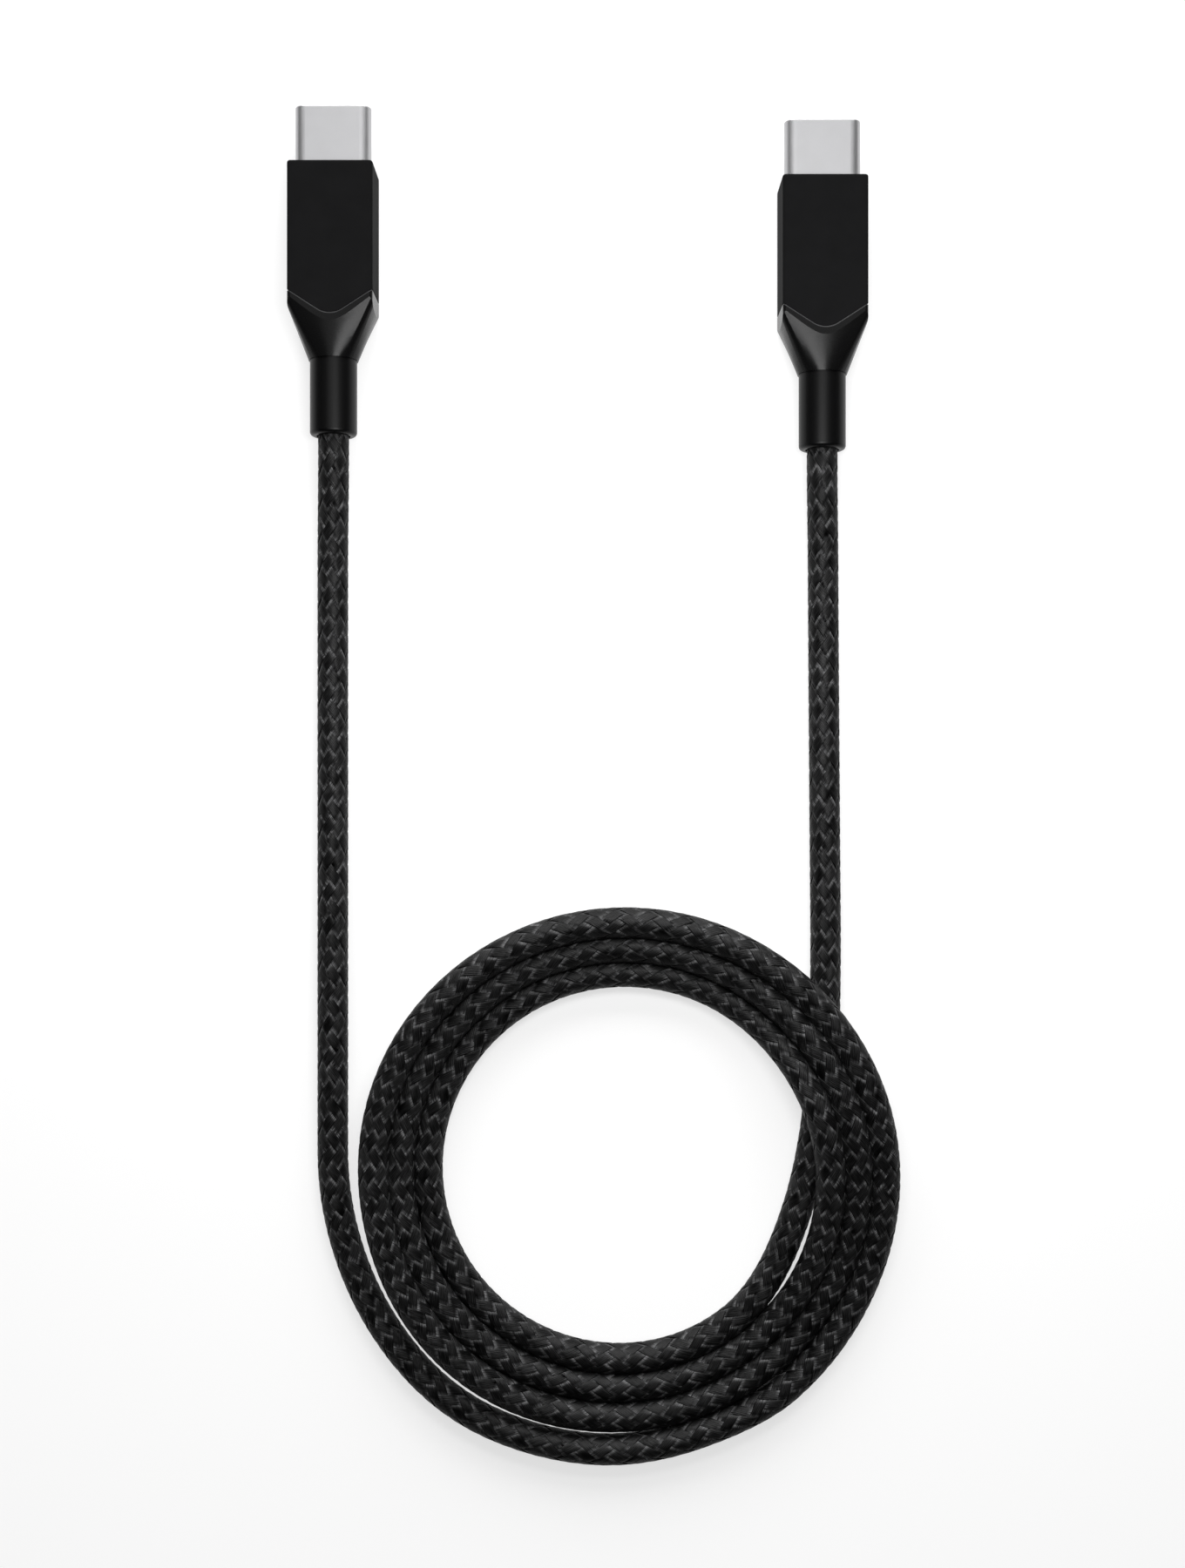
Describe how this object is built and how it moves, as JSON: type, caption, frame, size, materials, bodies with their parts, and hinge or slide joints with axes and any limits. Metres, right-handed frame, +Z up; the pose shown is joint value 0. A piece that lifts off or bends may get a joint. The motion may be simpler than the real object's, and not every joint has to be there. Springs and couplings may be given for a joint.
{
  "type": "charging cable",
  "caption": "Coiled braided charging cable with an identical rectangular reversible plug on each end, each with a metal nose, tapered tail and round strain relief.",
  "frame": {"origin": "on the surface that the cable lies on, below the middle of the box round the two plugs", "axes": "+Z up from that surface, +Y the way both plugs' noses point, +X from plug_a to plug_b; the coil lies towards -Y"},
  "size_m": [0.0667, 0.1486, 0.007],
  "materials": {
    "braid": "matt black braid of flat filament bundles, two over and two under",
    "nose_metal": "satin nickel plate",
    "nose_lining": "moulded black",
    "contact_gold": "gold plate",
    "spring_steel": "bright spring steel",
    "board_green": "green solder mask",
    "capacitor_ceramic": "tan ceramic with tinned ends",
    "can_steel": "tinned sheet",
    "crimp_brass": "plain brass",
    "cover_plastic": "fine satin black",
    "tail_plastic": "fine satin black",
    "boot_rubber": "soft satin black",
    "wire_red": "wire insulation",
    "wire_green": "wire insulation",
    "wire_white": "wire insulation",
    "wire_black": "wire insulation",
    "wire_blue": "wire insulation"
  },
  "bodies": {
    "cable": {"lead_a_flex": "braid", "lead_a": "braid", "coil": "braid", "lead_b": "braid", "lead_b_flex": "braid"},
    "plug_a": {"plug_a_shell": "nose_metal", "plug_a_insulator": "nose_lining", "plug_a_contacts_upper": "contact_gold", "plug_a_contacts_lower": "contact_gold", "plug_a_latch": "spring_steel", "plug_a_ground_springs": "spring_steel", "plug_a_board": "board_green", "plug_a_capacitor": "capacitor_ceramic", "plug_a_shield_can_upper": "can_steel", "plug_a_shield_can_lower": "can_steel", "plug_a_crimp": "crimp_brass", "plug_a_cable_end": "braid", "plug_a_cover": "cover_plastic", "plug_a_tail": "tail_plastic", "plug_a_boot": "boot_rubber", "plug_a_wire_vbus": "wire_red", "plug_a_wire_d_plus": "wire_green", "plug_a_wire_d_minus": "wire_white", "plug_a_wire_ground": "wire_black", "plug_a_wire_cc": "wire_blue"},
    "plug_b": {"plug_b_shell": "nose_metal", "plug_b_insulator": "nose_lining", "plug_b_contacts_upper": "contact_gold", "plug_b_contacts_lower": "contact_gold", "plug_b_latch": "spring_steel", "plug_b_ground_springs": "spring_steel", "plug_b_board": "board_green", "plug_b_capacitor": "capacitor_ceramic", "plug_b_shield_can_upper": "can_steel", "plug_b_shield_can_lower": "can_steel", "plug_b_crimp": "crimp_brass", "plug_b_cable_end": "braid", "plug_b_cover": "cover_plastic", "plug_b_tail": "tail_plastic", "plug_b_boot": "boot_rubber", "plug_b_wire_vbus": "wire_red", "plug_b_wire_d_plus": "wire_green", "plug_b_wire_d_minus": "wire_white", "plug_b_wire_ground": "wire_black", "plug_b_wire_cc": "wire_blue"}
  },
  "joints": [
    {"name": "plug_a_bend", "type": "hinge", "parent": "cable", "child": "plug_a", "pos_m": [-0.0266, -0.0251, 0.00325], "axis": [0, 0, 1], "range_deg": [-25, 25], "deforming": ["lead_a_flex"]},
    {"name": "plug_b_bend", "type": "hinge", "parent": "cable", "child": "plug_b", "pos_m": [0.0266, -0.0266, 0.00325], "axis": [0, 0, 1], "range_deg": [-25, 25], "deforming": ["lead_b_flex"]}
  ]
}
